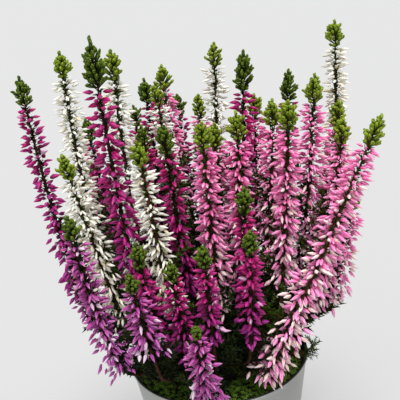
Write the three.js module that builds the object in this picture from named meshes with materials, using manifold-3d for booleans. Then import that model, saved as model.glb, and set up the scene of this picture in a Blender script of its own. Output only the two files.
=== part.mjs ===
// A pot of bud-blooming heather: white, crimson and pink plants grown together in one
// round nursery pot. Millimetres, +Z up, origin at the middle of the pot's underside,
// the pot's front towards -Y.
import * as THREE from 'three';
import { mergeVertices } from 'three/addons/utils/BufferGeometryUtils.js';
import Module from 'manifold-3d';

const wasm = await Module();
wasm.setup();

// ---------------------------------------------------------------- driving dimensions
const TURN = 2 * Math.PI;
const GAP = 0.3; // air between pieces that touch
const OVERCUT = 5; // how far a cutter runs past the face it cuts
const ROUND_SIDES = 30; // facets round the pot, the root ball and the moss

// the pot: thin moulded wall, tapered, with a narrow rolled lip and holes in its floor
const POT_HEIGHT = 93;
const POT_RIM_RADIUS = 52.5;
const POT_FOOT_RADIUS = 37.5;
const POT_WALL = 1.1;
const POT_FLOOR = 1.8;
const LIP_HEIGHT = 2.4;
const LIP_PROUD = 0.8;
const LIP_EASE = 0.5; // bevel along the lip's edges
const LIP_DRAFT = 0.2; // the lip's foot is this much narrower than its top
const FOOT_BEVEL = 2.5;
const DRAIN_HOLES = 5;
const DRAIN_SIDES = 6;
const DRAIN_RADIUS = 4;
const DRAIN_CIRCLE = 25;

// the root ball fills the pot to a little under the rim, with moss grown round its edge
const SOIL_LEVEL = 86;
const SOIL_BUMP = 0.8;
const SOIL_SWELL = 2; // closeness of the bumps
const MOSS_INNER = 27;
const MOSS_EDGE = 0.6; // thickness at the ring's edges
const MOSS_HEIGHT = 3.2; // of its crown above the edges
const MOSS_BUMP = 1.3;
const MOSS_SWELL = 1.7;
const MOSS_ROUGHNESS = 0.4;
const MOSS_RINGS = 4;

// woody stems: each plant has a short trunk standing in a hole in the root ball
const TRUNK_RADIUS = 2.2;
const TRUNK_SIDES = 5;
const TRUNK_DEPTH = 28;
const TRUNK_TOP = 3.6;
const STEM_START = 0.8; // height at which a stem leaves the inside of its trunk
const STEM_RADIUS = 1.25; // at the soil
const STEM_RADIUS_IN_BLOOM = 0.85;
const STEM_SIDES = 3;
const STEM_SECTIONS = 6; // straight lengths from trunk to first bud
const TWIG_SECTIONS = 4; // straight lengths of a twig that has leaves only
const SHORTEST_EDGE = 0.1; // where stems of one trunk run into each other

// the fan of stems: how wide the crown is at a height, as a share of its full width
const CROWN_HEIGHT = 204;
const CROWN_FOOT = 0.2;
const CROWN_FLARE = 0.27;
const JOIN_HEIGHT = 16; // stems of one trunk part below this height, and a bit above it
const JOIN_SHARE = 0.35; // for stems whose blooms start high

// the flower spikes: a thin sleeve round the stem, clad all over in pointed closed buds
const SLEEVE_BORE = STEM_RADIUS_IN_BLOOM + 2 * GAP;
const SLEEVE_RADIUS = 2.4;
const SLEEVE_LENGTH = 29; // of one straight length of sleeve
const NECK = 0.8; // bare stem between the sleeve and the leafy tip
const ROWS_PER_LENGTH = 4; // rows of six buds on it
const BUD_STAGGER = 0.3; // share of a row by which one side's buds stand above the next
const BUD_OFFSET = 0.2; // the same between the two buds of a side
const BUD_REACH = 7.6; // from the stem's middle to a bud's point
const BUD_REACH_AT_ENDS = 5.8;
const BUD_REACH_VARIES = 0.3;
const BUD_RISE_LOW = -1.6; // the lowest buds hang, the highest stand up
const BUD_RISE_HIGH = 2.2;
const BUD_RISE_VARIES = 0.5;
const BUD_TURN_VARIES = 0.08; // radians
const FULL_FROM = 0.17; // shares of the spike's height between which it is full
const FULL_TO = 0.65;

// the leafy tip above the blooms: short shoots of scale leaves, seen as knobs
const LEAFY_RADIUS = 4.1;
const KNOB_OUT = 1.28;
const KNOB_IN = 0.62;
const KNOB_LIFT = 1.7;
const KNOB_VARIES = 0.08;
const LEAFY_PROFILE = [
  // share of the tip's length, share of its radius
  [0.1, 0.52],
  [0.28, 0.95],
  [0.46, 1.0],
  [0.64, 0.78],
  [0.82, 0.5],
];

// Each spray is one trunk. A stem's row gives its colour of buds, its place in the
// crown (x, y), the height of its tip above the soil, the height of its first bud and
// the length of its leafy tip, then how far its foot stands off its place (x, y).
const SPRAYS = [
  { leaves: 'dark', stems: [
    ['crimson', -92, 8, 180, 50, 17, -12, 0],
    ['crimson', -66, 31, 149, 50, 14, 0, 0],
    ['violet', -112, 32, 58, 18, 9, 0, 0],
    ['crimson', -76, 64, 118, 26, 13, 0, 0],
  ] },
  { leaves: 'dark', stems: [
    ['crimson', -44, -41, 202, 48, 25, -6, 0],
    ['crimson', -40, -66, 106, 38, 15, 0, 0],
    ['violet', -43, -93, 101, 48, 11, 0, 0],
    ['violet', -71, -66, 124, 33, 14, -6, 0],
  ] },
  { leaves: 'dark', stems: [
    ['crimson', -22.5, -73, 97, 40, 12, 0, 0],
    ['crimson', -3.5, -82, 107, 47, 12, 0, 0],
    ['crimson', 22.5, -73, 109, 42, 13, 0, 0],
    ['crimson', 22, -49, 124, 46, 15, 0, 0],
    ['violet', -14, -106, 74, 18, 7, 0, 0],
    ['leaf', -28, -74, 31, 0, 11, 0, 0],
  ] },
  { leaves: 'dark', stems: [
    ['crimson', -31, 4, 148, 66, 14, 0, 0],
    ['crimson', -17, -28, 154, 48, 16, 0, 0],
    ['crimson', -28, 44, 166, 80, 15, 0, 0],
  ] },
  { leaves: 'dark', stems: [
    ['crimson', -39, 66, 147, 36, 14, 0, 0],
    ['crimson', -10, 82, 148, 40, 14, 0, 0],
    ['crimson', -39, 94, 112, 24, 12, 0, 0],
  ] },
  { leaves: 'dark', stems: [
    ['crimson', 30.5, 18, 180, 72, 23, -8, 0],
    ['crimson', 62, 60, 160, 50, 20, 0, 0],
  ] },
  { leaves: 'light', stems: [
    ['white', -64, -12, 193, 52, 14, -14, 0],
    ['white', -70, -42, 148, 54, 14, 8, 0],
  ] },
  { leaves: 'light', stems: [
    ['white', -38, -18, 192, 60, 16, -12, 0],
    ['white', -30.5, -50, 153, 60, 14, 4, 0],
  ] },
  { leaves: 'light', stems: [
    ['white', -20.5, 23, 167, 75, 14, 0, 0],
    ['pink', -17, 62, 170, 80, 16, 0, 0],
    ['pink', 4, 58, 151, 66, 14, 0, 0],
  ] },
  { leaves: 'light', stems: [
    ['white', 15.5, 37, 183, 80, 14, -8, 0],
    ['pink', 38, 42, 151, 68, 14, 0, 0],
    ['pink', 14, 92, 122, 28, 13, 0, 0],
  ] },
  { leaves: 'light', stems: [
    ['pink', 11, 9, 144, 66, 14, 0, 0],
    ['pink', 22, -17, 155, 55, 16, 0, 0],
    ['pink', 3, -33, 155, 50, 15, 0, 0],
  ] },
  { leaves: 'light', stems: [
    ['pink', 43, -7, 157, 60, 15, 0, 0],
    ['pink', 48, -32, 161, 62, 16, 0, 0],
    ['pink', 99, -28, 148, 18, 18, -60, -54],
    ['leaf', 41, -54, 51, 0, 11, 0, 0],
  ] },
  { leaves: 'light', stems: [
    ['pink', 69, 9, 165, 50, 17, 0, 0],
    ['pink', 82, -12, 144, 36, 15, 0, 0],
    ['pink', 87, 24, 146, 44, 15, 0, 0],
    ['pink', 98, 2, 100, 34, 13, 0, 0],
    ['leaf', 83, -40, 21, 0, 11, 0, 0],
  ] },
  { leaves: 'light', stems: [
    ['white', 87, 48, 187, 50, 16, 16, 0],
    ['pink', 62, 88, 114, 24, 13, 0, 0],
  ] },
];

const COLOURS = {
  pot: ['#8d8f8c', 0.55],
  soil: ['#2a211a', 0.95],
  moss: ['#4b5a25', 0.95],
  dark: ['#2f4a1c', 0.7],
  light: ['#6c8f2a', 0.7],
  crimson: ['#a91a6c', 0.6],
  violet: ['#b04fa6', 0.6],
  pink: ['#e07bb0', 0.6],
  white: ['#f0ebdf', 0.6],
};

// ---------------------------------------------------------------- small tools
let seed = 20;
function random() {
  seed = (seed * 1664525 + 1013904223) % 4294967296;
  return seed / 4294967296;
}

const spreadOut = (amount) => (random() * 2 - 1) * amount;
const mix = THREE.MathUtils.lerp;

// A closed shell collected triangle by triangle, anticlockwise seen from outside.
class Shell {
  points = [];
  faces = [];

  point(position) {
    this.points.push(position.x, position.y, position.z);
    return this.points.length / 3 - 1;
  }

  triangle(a, b, c) {
    this.faces.push(a, b, c);
  }

  quad(a, b, c, d) {
    this.triangle(a, b, c);
    this.triangle(a, c, d);
  }

  // a pyramid on the triangle a, b, c
  pyramid(a, b, c, tip) {
    this.triangle(a, b, tip);
    this.triangle(b, c, tip);
    this.triangle(c, a, tip);
  }

  // side faces between two rings with the same number of points
  skin(lower, upper, inward = false) {
    lower.forEach((_, i) => {
      const next = (i + 1) % lower.length;
      if (inward) this.quad(lower[next], lower[i], upper[i], upper[next]);
      else this.quad(lower[i], lower[next], upper[next], upper[i]);
    });
  }

  geometry() {
    const geometry = new THREE.BufferGeometry();
    geometry.setAttribute('position', new THREE.Float32BufferAttribute(this.points, 3));
    geometry.setIndex(this.faces);
    return geometry;
  }
}

// The closed surface of a three.js geometry, with its shared points merged.
function closedSurface(geometry) {
  const bare = new THREE.BufferGeometry();
  bare.setAttribute('position', geometry.getAttribute('position').clone());
  bare.setIndex(geometry.getIndex());
  const merged = mergeVertices(bare, 1e-4);
  const index = merged.getIndex().array;
  const kept = [];
  for (let i = 0; i < index.length; i += 3) {
    const [a, b, c] = index.slice(i, i + 3);
    if (a !== b && b !== c && c !== a) kept.push(a, b, c);
  }
  merged.setIndex(kept);
  return merged;
}

function solid(geometry) {
  const surface = closedSurface(geometry);
  return new wasm.Manifold(new wasm.Mesh({
    numProp: 3,
    vertProperties: new Float32Array(surface.getAttribute('position').array),
    triVerts: new Uint32Array(surface.getIndex().array),
  }));
}

function geometryOf(manifold) {
  const mesh = manifold.getMesh();
  const geometry = new THREE.BufferGeometry();
  geometry.setAttribute('position', new THREE.BufferAttribute(mesh.vertProperties, 3));
  geometry.setIndex(new THREE.BufferAttribute(mesh.triVerts, 1));
  return geometry;
}

const part = new THREE.Group();
part.name = 'potted_heather';

function addPiece(name, geometry, colourName) {
  const [color, roughness] = COLOURS[colourName];
  const material = new THREE.MeshStandardMaterial({ color, roughness, metalness: 0 });
  geometry.computeVertexNormals();
  const mesh = new THREE.Mesh(geometry, material);
  mesh.name = name;
  part.add(mesh);
}

// a profile of [radius, height] pairs turned round the pot's axis
function turned(profile) {
  const points = profile.map(([radius, height]) => new THREE.Vector2(radius, height));
  return new THREE.LatheGeometry(points, ROUND_SIDES).rotateX(Math.PI / 2);
}

// an upright prism between two heights
function prism(x, y, radius, sides, bottom, top) {
  const geometry = new THREE.CylinderGeometry(radius, radius, top - bottom, sides);
  return geometry.rotateX(Math.PI / 2).translate(x, y, (bottom + top) / 2);
}

// ---------------------------------------------------------------- pot, root ball, moss
const lipInner = POT_RIM_RADIUS - LIP_PROUD; // outside of the wall under the lip
const wallSlope = (lipInner - POT_FOOT_RADIUS) / (POT_HEIGHT - LIP_HEIGHT);
const outerRadius = (height) => POT_FOOT_RADIUS + wallSlope * height;
const innerRadius = (height) => outerRadius(height) - POT_WALL;

function pot() {
  const lipUnder = POT_HEIGHT - LIP_HEIGHT;
  const body = solid(turned([
    [0, 0],
    [POT_FOOT_RADIUS - FOOT_BEVEL, 0],
    [outerRadius(FOOT_BEVEL), FOOT_BEVEL],
    [outerRadius(lipUnder), lipUnder],
    [POT_RIM_RADIUS - LIP_DRAFT, lipUnder + LIP_EASE],
    [POT_RIM_RADIUS, POT_HEIGHT - LIP_EASE],
    [POT_RIM_RADIUS - LIP_EASE, POT_HEIGHT],
    [innerRadius(POT_HEIGHT), POT_HEIGHT],
    [innerRadius(lipUnder), lipUnder],
    [innerRadius(POT_FLOOR), POT_FLOOR],
    [0, POT_FLOOR],
  ]));
  let drilled = body;
  for (let hole = 0; hole < DRAIN_HOLES; hole += 1) {
    const angle = ((hole + 0.5) / DRAIN_HOLES) * TURN;
    const x = DRAIN_CIRCLE * Math.cos(angle);
    const y = DRAIN_CIRCLE * Math.sin(angle);
    const drain = prism(x, y, DRAIN_RADIUS, DRAIN_SIDES, -OVERCUT, POT_FLOOR + OVERCUT);
    drilled = drilled.subtract(solid(drain));
  }
  return geometryOf(drilled);
}

// low swells of soil and moss, from a formula in the plan position
const swell = (x, y) => Math.sin(x * 0.31 + y * 0.17) * Math.cos(y * 0.27 - x * 0.11);

function rootBall(trunks) {
  const clear = GAP / Math.cos(Math.PI / ROUND_SIDES);
  const bottom = POT_FLOOR + GAP;
  const geometry = turned([
    [0, bottom],
    [innerRadius(bottom) - clear, bottom],
    [innerRadius(SOIL_LEVEL) - clear, SOIL_LEVEL],
    [MOSS_INNER, SOIL_LEVEL],
    [MOSS_INNER / 2, SOIL_LEVEL],
    [0, SOIL_LEVEL],
  ]);
  const position = geometry.getAttribute('position');
  for (let i = 0; i < position.count; i += 1) {
    const [x, y, z] = [position.getX(i), position.getY(i), position.getZ(i)];
    const bare = z > SOIL_LEVEL - 1 && Math.hypot(x, y) < MOSS_INNER - 1;
    if (bare) position.setZ(i, z + SOIL_BUMP * swell(x * SOIL_SWELL, y * SOIL_SWELL));
  }
  let ball = solid(geometry);
  const holeBottom = SOIL_LEVEL - TRUNK_DEPTH - GAP;
  for (const { x, y } of trunks) {
    const radius = TRUNK_RADIUS + 2 * GAP;
    const hole = prism(x, y, radius, TRUNK_SIDES, holeBottom, SOIL_LEVEL + OVERCUT);
    ball = ball.subtract(solid(hole));
  }
  return geometryOf(ball);
}

// a bumpy ring of moss lying on the root ball between its bare middle and the pot
function mossRing() {
  const shell = new Shell();
  const outer = innerRadius(SOIL_LEVEL) - 2 * GAP;
  const under = SOIL_LEVEL + GAP;
  const ring = (radius, height) => Array.from({ length: ROUND_SIDES }, (_, i) => {
    const angle = (i / ROUND_SIDES) * TURN;
    const x = radius * Math.sin(angle);
    const y = -radius * Math.cos(angle);
    return shell.point(new THREE.Vector3(x, y, height(x, y)));
  });
  const rings = [ring(outer, () => under)];
  for (let k = 0; k <= MOSS_RINGS; k += 1) {
    const radius = mix(outer, MOSS_INNER, k / MOSS_RINGS);
    const crown = Math.sin((Math.PI * (k + 0.5)) / (MOSS_RINGS + 1));
    rings.push(ring(radius, (x, y) => {
      const bump = MOSS_BUMP * swell(x * MOSS_SWELL, y * MOSS_SWELL) + spreadOut(MOSS_ROUGHNESS);
      return under + MOSS_EDGE + crown * (MOSS_HEIGHT + bump);
    }));
  }
  rings.push(ring(MOSS_INNER, () => under));
  rings.forEach((lower, k) => shell.skin(lower, rings[(k + 1) % rings.length]));
  return shell.geometry();
}

// ---------------------------------------------------------------- stems and blooms
function asStem([colour, x, y, tip, bloom, leafy, footX, footY]) {
  const join = JOIN_HEIGHT + JOIN_SHARE * bloom;
  return { colour, x, y, tip, bloom, leafy, footX, footY, join };
}

const average = (values) => values.reduce((sum, value) => sum + value, 0) / values.length;

// a trunk stands under the middle of its own stems
function trunkOf(stems) {
  const flowering = stems.filter((stem) => stem.colour !== 'leaf');
  return {
    x: CROWN_FOOT * average(flowering.map((stem) => stem.x + stem.footX)),
    y: CROWN_FOOT * average(flowering.map((stem) => stem.y + stem.footY)),
  };
}

// A stem's middle line: up out of the trunk, outwards over the rim, then up in the crown.
class StemCurve extends THREE.Curve {
  constructor(stem, trunk) {
    super();
    Object.assign(this, { stem, trunk });
  }

  getPoint(t, target = new THREE.Vector3()) {
    const { x, y, tip, footX, footY, join } = this.stem;
    const height = mix(STEM_START, tip, t);
    const spread = mix(CROWN_FOOT, 1, (height / CROWN_HEIGHT) ** CROWN_FLARE);
    const parted = THREE.MathUtils.smoothstep(height, 0, join);
    return target.set(
      mix(this.trunk.x, (x + footX * (1 - height / tip)) * spread, parted),
      mix(this.trunk.y, (y + footY * (1 - height / tip)) * spread, parted),
      SOIL_LEVEL + height,
    );
  }

  // share of the curve's length that lies below a height above the soil
  shareBelow(height) {
    const lengths = this.getLengths();
    const place = ((height - STEM_START) / (this.stem.tip - STEM_START)) * (lengths.length - 1);
    const whole = Math.min(Math.floor(place), lengths.length - 2);
    return mix(lengths[whole], lengths[whole + 1], place - whole) / this.getLength();
  }

  // the cross-section's middle, and its outward and sideways directions
  section(share) {
    const middle = this.getPointAt(share);
    const along = this.getTangentAt(share);
    const side = new THREE.Vector3(-this.stem.y, this.stem.x, 0).normalize();
    const out = side.clone().cross(along).normalize();
    return { middle, along, out, side: along.clone().cross(out) };
  }
}

function blend(a, b, share) {
  const between = (key) => a[key].clone().lerp(b[key], share);
  return {
    middle: between('middle'),
    along: between('along'),
    out: between('out'),
    side: between('side'),
  };
}

function onSection({ middle, along, out, side }, radius, angle, lift = 0) {
  return middle.clone()
    .addScaledVector(out, radius * Math.cos(angle))
    .addScaledVector(side, radius * Math.sin(angle))
    .addScaledVector(along, lift);
}

const ringOf = (shell, section, radius) => Array.from(
  { length: STEM_SIDES },
  (_, i) => shell.point(onSection(section, radius, (i / STEM_SIDES) * TURN)),
);

// Where a stem is bent: from the trunk to the blooms, then one section per length of
// sleeve, so that the stem and the sleeve round it bend at the same places.
function sectionsOf(curve) {
  const { stem } = curve;
  const leafyFrom = 1 - stem.leafy / curve.getLength();
  const bare = stem.colour === 'leaf';
  const bloomFrom = bare ? leafyFrom : curve.shareBelow(stem.bloom);
  const below = [];
  const steps = bare ? TWIG_SECTIONS : STEM_SECTIONS;
  for (let i = 0; i <= steps; i += 1) below.push(curve.section((bloomFrom * i) / steps));
  if (bare) return { below, bloom: [], leafyFrom };
  const bloomTo = leafyFrom - NECK / curve.getLength();
  const bloomLength = (bloomTo - bloomFrom) * curve.getLength();
  const lengths = Math.max(1, Math.round(bloomLength / SLEEVE_LENGTH));
  const bloom = [];
  for (let i = 0; i <= lengths; i += 1) {
    bloom.push(curve.section(mix(bloomFrom, bloomTo, i / lengths)));
  }
  return { below, bloom, leafyFrom };
}

// A three-sided stem that ends in its leafy tip. The tip's rings have knobs on every
// other point, and the next ring's knobs stand over the gaps.
function leafyStem(curve, { below, bloom, leafyFrom }) {
  const shell = new Shell();
  const bends = [...below, ...bloom.slice(1)];
  const rings = bends.map((section, i) => {
    const share = Math.min(1, i / (below.length - 1));
    return ringOf(shell, section, mix(STEM_RADIUS, STEM_RADIUS_IN_BLOOM, share));
  });
  shell.triangle(rings[0][2], rings[0][1], rings[0][0]);
  for (let i = 1; i < rings.length; i += 1) shell.skin(rings[i - 1], rings[i]);

  const leafyRings = LEAFY_PROFILE.map(([along, width], level) => {
    const section = curve.section(mix(leafyFrom, 1, along));
    return Array.from({ length: 6 }, (_, i) => {
      const knob = (i + level) % 2 === 0;
      const radius = LEAFY_RADIUS * width * (knob ? KNOB_OUT : KNOB_IN) * (1 + spreadOut(KNOB_VARIES));
      return shell.point(onSection(section, radius, (i / 6) * TURN, knob ? KNOB_LIFT * width : 0));
    });
  });
  const neck = rings.at(-1);
  neck.forEach((corner, i) => {
    const next = neck[(i + 1) % 3];
    const [left, middle, right] = [2 * i, 2 * i + 1, (2 * i + 2) % 6].map((k) => leafyRings[0][k]);
    shell.triangle(corner, next, middle);
    shell.triangle(corner, middle, left);
    shell.triangle(next, right, middle);
  });
  for (let level = 1; level < leafyRings.length; level += 1) {
    const [lower, upper] = [leafyRings[level - 1], leafyRings[level]];
    lower.forEach((point, i) => {
      const next = (i + 1) % 6;
      const knob = (i + level - 1) % 2 === 0;
      if (knob) shell.quad(lower[next], upper[next], upper[i], point);
      else shell.quad(point, lower[next], upper[next], upper[i]);
    });
  }
  const top = leafyRings.at(-1);
  const tip = shell.point(curve.getPoint(1));
  top.forEach((point, i) => shell.triangle(point, top[(i + 1) % 6], tip));
  return shell.geometry();
}

// A three-sided sleeve round the stem. Each of its faces is cut into triangles, and
// each triangle is drawn out into a pointed bud, so that six columns of buds stand
// round the stem and cover it. The cut slopes the other way in every second row.
function budSleeve(bends) {
  const shell = new Shell();
  const rows = (bends.length - 1) * ROWS_PER_LENGTH;
  const sectionAt = (row) => {
    const bend = Math.min(Math.floor(row / ROWS_PER_LENGTH), bends.length - 2);
    return blend(bends[bend], bends[bend + 1], row / ROWS_PER_LENGTH - bend);
  };
  const bore = bends.map((section) => ringOf(shell, section, SLEEVE_BORE));
  const cladding = [];
  for (let row = 0; row <= rows; row += 1) {
    cladding.push(ringOf(shell, sectionAt(row), SLEEVE_RADIUS));
  }
  for (let i = 1; i < bore.length; i += 1) shell.skin(bore[i - 1], bore[i], true);
  shell.skin(bore[0], cladding[0]);
  shell.skin(cladding[rows], bore.at(-1));

  // the point of a bud, part way up a row and at an angle round the stem
  const budPoint = (row, angle) => {
    const height = THREE.MathUtils.clamp(row / rows, 0, 1);
    const fullness = Math.min(1, 0.5 + height / FULL_FROM / 2, (1 - height) / (1 - FULL_TO));
    const reach = mix(BUD_REACH_AT_ENDS, BUD_REACH, fullness) + spreadOut(BUD_REACH_VARIES);
    const rise = mix(BUD_RISE_LOW, BUD_RISE_HIGH, height) + spreadOut(BUD_RISE_VARIES);
    return shell.point(onSection(sectionAt(row), reach, angle + spreadOut(BUD_TURN_VARIES), rise));
  };
  for (let row = 0; row < rows; row += 1) {
    const [lower, upper] = [cladding[row], cladding[row + 1]];
    lower.forEach((left, i) => {
      const next = (i + 1) % 3;
      const middle = row + 0.5 + (i - 1) * BUD_STAGGER;
      const [onLeft, onRight] = [(i / 3 + 1 / 12) * TURN, (i / 3 + 1 / 4) * TURN];
      if (row % 2 === 0) {
        shell.pyramid(left, lower[next], upper[next], budPoint(middle - BUD_OFFSET, onRight));
        shell.pyramid(left, upper[next], upper[i], budPoint(middle + BUD_OFFSET, onLeft));
      } else {
        shell.pyramid(left, lower[next], upper[i], budPoint(middle - BUD_OFFSET, onLeft));
        shell.pyramid(lower[next], upper[next], upper[i], budPoint(middle + BUD_OFFSET, onRight));
      }
    });
  }
  return shell.geometry();
}

// ---------------------------------------------------------------- assembly
const plants = SPRAYS.map(({ leaves, stems }) => {
  const rows = stems.map(asStem);
  return { leaves, stems: rows, trunk: trunkOf(rows) };
});

addPiece('pot', pot(), 'pot');
addPiece('root_ball', rootBall(plants.map((plant) => plant.trunk)), 'soil');
addPiece('moss', mossRing(), 'moss');

const twoDigits = (number) => String(number).padStart(2, '0');
let spikes = 0;
plants.forEach(({ leaves, stems, trunk }, number) => {
  const foot = SOIL_LEVEL - TRUNK_DEPTH;
  const top = SOIL_LEVEL + TRUNK_TOP;
  let spray = solid(prism(trunk.x, trunk.y, TRUNK_RADIUS, TRUNK_SIDES, foot, top));
  for (const stem of stems) {
    const curve = new StemCurve(stem, trunk);
    const sections = sectionsOf(curve);
    spray = spray.add(solid(leafyStem(curve, sections)));
    if (sections.bloom.length > 0) {
      spikes += 1;
      addPiece(`${stem.colour}_bloom_${twoDigits(spikes)}`, budSleeve(sections.bloom), stem.colour);
    }
  }
  addPiece(`leafy_spray_${twoDigits(number + 1)}`, geometryOf(spray.simplify(SHORTEST_EDGE)), leaves);
});

export default part;
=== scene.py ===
import math
import random

import bpy
import numpy as np
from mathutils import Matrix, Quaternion, Vector, noise


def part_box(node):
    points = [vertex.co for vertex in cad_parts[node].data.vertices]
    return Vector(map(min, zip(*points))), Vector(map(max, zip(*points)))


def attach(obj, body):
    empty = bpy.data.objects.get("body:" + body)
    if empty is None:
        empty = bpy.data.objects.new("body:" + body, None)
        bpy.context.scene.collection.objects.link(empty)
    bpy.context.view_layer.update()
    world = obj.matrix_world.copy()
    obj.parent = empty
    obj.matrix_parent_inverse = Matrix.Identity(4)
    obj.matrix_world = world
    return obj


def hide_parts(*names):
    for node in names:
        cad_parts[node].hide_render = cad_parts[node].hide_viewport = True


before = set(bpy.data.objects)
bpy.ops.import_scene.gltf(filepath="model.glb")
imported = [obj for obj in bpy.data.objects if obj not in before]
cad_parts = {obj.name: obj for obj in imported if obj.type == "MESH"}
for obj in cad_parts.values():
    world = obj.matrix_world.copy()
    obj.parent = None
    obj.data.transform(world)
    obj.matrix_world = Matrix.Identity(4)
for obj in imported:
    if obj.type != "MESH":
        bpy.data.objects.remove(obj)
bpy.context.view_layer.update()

# ------------------------------------------------------------------ the nursery pot
# One thin shell of grey plastic, blown over a mould: a tapered wall, a narrow rolled
# lip, a flat floor with drain holes. The sheet is black on the inside, which shows
# along the lip. It holds all the rest.
POT_SIDES = 128
_, pot_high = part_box("pot")
POT_HEIGHT = pot_high.z
POT_RIM_RADIUS = pot_high.x
POT_FOOT_RADIUS = 0.0375
POT_WALL = 0.0011
POT_FLOOR = 0.0018
LIP_HEIGHT = 0.0024
LIP_PROUD = 0.0008
LIP_EASE = 0.0005
FOOT_BEVEL = 0.0025
FOOT_EASE = 0.3 * FOOT_BEVEL
EDGE_BEVEL = 0.0003
DRAIN_HOLES = 5
DRAIN_RADIUS = 0.004
DRAIN_CIRCLE = 0.025
LIP_UNDER = POT_HEIGHT - LIP_HEIGHT
WALL_SLOPE = (POT_RIM_RADIUS - LIP_PROUD - POT_FOOT_RADIUS) / LIP_UNDER


def outer_radius(height):
    return POT_FOOT_RADIUS + WALL_SLOPE * height


def inner_radius(height):
    return outer_radius(height) - POT_WALL


def deselect_all():
    bpy.ops.object.select_all(action="DESELECT")


def pick(piece):
    deselect_all()
    piece.select_set(True)
    bpy.context.view_layer.objects.active = piece


def draw_up(rings):
    """Extrudes the selected ring to each (radius, height) in turn."""
    radius, height = rings[0]
    for next_radius, next_height in rings[1:]:
        bpy.ops.mesh.extrude_region_move(
            TRANSFORM_OT_translate={"value": (0, 0, next_height - height)}
        )
        grown = next_radius / radius
        bpy.ops.transform.resize(value=(grown, grown, 1), center_override=(0, 0, next_height))
        radius, height = next_radius, next_height


def finish_with(piece, kind, **settings):
    """Adds a modifier to the piece and applies it."""
    pick(piece)
    modifier = piece.modifiers.new(kind.lower(), kind)
    for setting, value in settings.items():
        setattr(modifier, setting, value)
    bpy.ops.object.modifier_apply(modifier=modifier.name)


deselect_all()
bpy.ops.mesh.primitive_circle_add(vertices=POT_SIDES, radius=POT_FOOT_RADIUS - FOOT_BEVEL)
nursery_pot = bpy.context.object
nursery_pot.name = "nursery_pot"
bpy.ops.object.mode_set(mode="EDIT")
bpy.ops.mesh.select_all(action="SELECT")
bpy.ops.mesh.duplicate()
bpy.ops.mesh.edge_face_add()
bpy.ops.mesh.select_all(action="INVERT")
draw_up([
    (POT_FOOT_RADIUS - FOOT_BEVEL, 0),
    (outer_radius(FOOT_EASE) - FOOT_EASE, FOOT_EASE),
    (outer_radius(FOOT_BEVEL), FOOT_BEVEL),
    (outer_radius(LIP_UNDER - LIP_EASE), LIP_UNDER - LIP_EASE),
    (POT_RIM_RADIUS - LIP_EASE, LIP_UNDER),
    (POT_RIM_RADIUS, LIP_UNDER + LIP_EASE),
    (POT_RIM_RADIUS, POT_HEIGHT - LIP_EASE),
    (POT_RIM_RADIUS - LIP_EASE, POT_HEIGHT),
    (inner_radius(POT_HEIGHT), POT_HEIGHT - LIP_EASE),
    (inner_radius(LIP_UNDER), LIP_UNDER),
    (inner_radius(POT_FLOOR), POT_FLOOR),
])
bpy.ops.mesh.edge_face_add()
bpy.ops.mesh.select_all(action="SELECT")
bpy.ops.mesh.remove_doubles(threshold=0.00001)
bpy.ops.mesh.normals_make_consistent(inside=False)
bpy.ops.object.mode_set(mode="OBJECT")

for hole in range(DRAIN_HOLES):
    turn = (hole + 0.5) / DRAIN_HOLES * 2 * math.pi
    deselect_all()
    bpy.ops.mesh.primitive_cylinder_add(
        vertices=24, radius=DRAIN_RADIUS, depth=4 * POT_FLOOR,
        location=(DRAIN_CIRCLE * math.cos(turn), DRAIN_CIRCLE * math.sin(turn), 0),
    )
    drill = bpy.context.object
    finish_with(nursery_pot, "BOOLEAN", object=drill, operation="DIFFERENCE")
    bpy.data.objects.remove(drill)
finish_with(
    nursery_pot, "BEVEL", width=EDGE_BEVEL, segments=2, limit_method="ANGLE",
    angle_limit=math.radians(40),
)
bpy.ops.object.shade_smooth_by_angle(angle=math.radians(35))


class Nodes:
    """A material's or a group's node tree, with short ways to add and join nodes."""

    def __init__(self, tree):
        self.tree = tree

    def feed(self, socket, given):
        """Joins another node's socket to this one, or sets its value, or its colour by text."""
        if isinstance(given, bpy.types.NodeSocket):
            self.tree.links.new(given, socket)
        else:
            socket.default_value = colour(given) if isinstance(given, str) else given

    def add(self, kind, inputs, **settings):
        """A new node's outputs, its inputs fed by name or number."""
        node = self.tree.nodes.new(kind)
        for setting, value in settings.items():
            setattr(node, setting, value)
        for socket, given in inputs.items():
            self.feed(node.inputs[socket], given)
        return node.outputs

    def blend(self, share, first, second):
        """A colour between two others."""
        return self.add("ShaderNodeMix", {0: share, 6: first, 7: second}, data_type="RGBA")[2]

    def sum(self, operation, first, second=0.0, third=0.0, clamp=False):
        return self.add("ShaderNodeMath", {0: first, 1: second, 2: third},
                        operation=operation, use_clamp=clamp)[0]

    def spread(self, value, low, high, to_low=0.0, to_high=1.0):
        """A value stretched from one range to another, and kept inside that."""
        return self.add("ShaderNodeMapRange", {
            "Value": value, "From Min": low, "From Max": high,
            "To Min": to_low, "To Max": to_high,
        })[0]

    def place(self):
        """The place on the object itself, in metres."""
        return self.add("ShaderNodeTexCoord", {})["Object"]

    def mottle(self, scale):
        """The Patches and the Grain of the mottle group."""
        return self.add("ShaderNodeGroup", {"Scale": scale}, node_tree=mottle_group)

    def finish(self, skin, grain, strength, depth, gloss=None):
        """Gives a material its colour, its bump and, where that varies, its roughness."""
        shader = self.tree.nodes["Principled BSDF"]
        bump = self.add("ShaderNodeBump", {
            "Strength": strength, "Distance": depth, "Height": grain,
        })
        self.feed(shader.inputs["Base Color"], skin)
        self.feed(shader.inputs["Normal"], bump[0])
        if gloss is not None:
            self.feed(shader.inputs["Roughness"], gloss)


def colour(text, alpha=1.0):
    """A paint colour such as 8d8f8c as the linear values a shader takes."""
    shares = [int(text[i:i + 2], 16) / 255 for i in (0, 2, 4)]
    linear = [s / 12.92 if s <= 0.04045 else ((s + 0.055) / 1.055) ** 2.4 for s in shares]
    return (*linear, alpha)


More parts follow.
